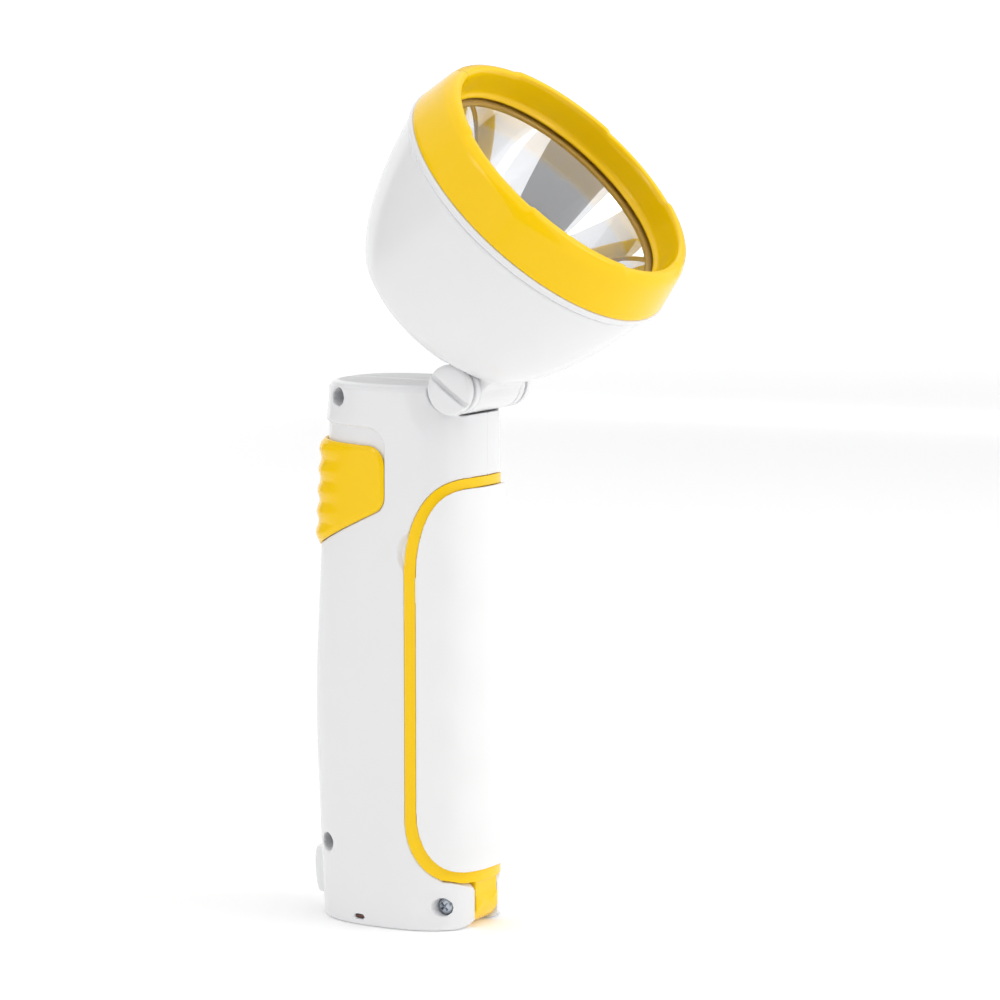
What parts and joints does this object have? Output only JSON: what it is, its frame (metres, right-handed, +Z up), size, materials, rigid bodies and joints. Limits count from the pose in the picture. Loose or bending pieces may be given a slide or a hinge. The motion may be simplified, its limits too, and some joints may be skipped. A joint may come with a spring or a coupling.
{
  "type": "firefighter flashlight",
  "caption": "Rechargeable hand torch with a tilting round head, a slide switch on the back and a fold-out grip panel with finger grooves and a lamp strip.",
  "frame": {"origin": "middle of the underside of the body, where the torch stands", "axes": "+Z up along the body, -Y to the front (beam and finger grooves), +Y to the back (switch), X across"},
  "size_m": [0.0892, 0.1103, 0.2441],
  "materials": {
    "white_plastic": "glossy white injection-moulded plastic",
    "yellow_plastic": "glossy yellow injection-moulded plastic",
    "clear_lens": "clear polished plastic",
    "chrome": "vacuum-metallised mirror",
    "gasket": "pale translucent silicone",
    "steel": "zinc-plated steel",
    "aluminium": "plain aluminium",
    "dark_plastic": "black plastic",
    "circuit_board": "green solder mask",
    "cell_wrap": "plain blue shrink wrap",
    "lead_red": "red wire insulation",
    "lead_black": "black wire insulation",
    "indicator": "dark red translucent plastic",
    "led_phosphor": "yellow LED phosphor"
  },
  "bodies": {
    "body": {"housing_left": "white_plastic", "housing_right": "white_plastic", "case_screw_top": "steel", "case_screw_back": "steel", "panel_hinge_screw": "steel", "pivot_cap": "white_plastic", "pivot_nut_cap": "white_plastic", "pivot_bolt": "steel", "friction_washer_left": "steel", "friction_washer_right": "steel", "main_board": "circuit_board", "slide_switch": "steel", "battery_cell": "cell_wrap", "battery_tab_top": "steel", "battery_tab_foot": "steel", "battery_lead_positive": "lead_red", "battery_lead_negative": "lead_black", "charging_socket": "dark_plastic", "charge_indicator": "indicator"},
    "head": {"head_shell": "white_plastic", "bezel": "yellow_plastic", "front_lens": "clear_lens", "lens_gasket": "gasket", "reflector": "chrome", "led_emitter": "led_phosphor", "led_board": "aluminium", "heat_sink": "aluminium", "led_board_screw_1": "steel", "led_board_screw_2": "steel"},
    "panel": {"panel_frame": "yellow_plastic", "grip_cover": "white_plastic", "lamp_tray": "white_plastic", "lamp_diffuser": "clear_lens", "lamp_board": "circuit_board", "lamp_led_1": "led_phosphor", "lamp_led_2": "led_phosphor", "lamp_led_3": "led_phosphor", "lamp_led_4": "led_phosphor", "lamp_led_5": "led_phosphor", "lamp_led_6": "led_phosphor"},
    "switch": {"switch_cap": "yellow_plastic", "switch_slider": "dark_plastic"},
    "port_flap": {"port_cover": "white_plastic"}
  },
  "joints": [
    {"name": "head_tilt", "type": "hinge", "parent": "body", "child": "head", "pos_m": [0, -0.0228, 0.1542], "axis": [1, 0, 0], "range_deg": [-45, 55]},
    {"name": "panel_fold", "type": "hinge", "parent": "body", "child": "panel", "pos_m": [0, -0.0188, 0.0068], "axis": [1, 0, 0], "range_deg": [0, 80]},
    {"name": "switch_slide", "type": "slide", "parent": "body", "child": "switch", "axis": [0, 0, 1], "range_m": [0, 0.005]},
    {"name": "port_flap_hinge", "type": "hinge", "parent": "body", "child": "port_flap", "pos_m": [0, 0.0267, 0.02], "axis": [1, 0, 0], "range_deg": [0, 75]}
  ]
}
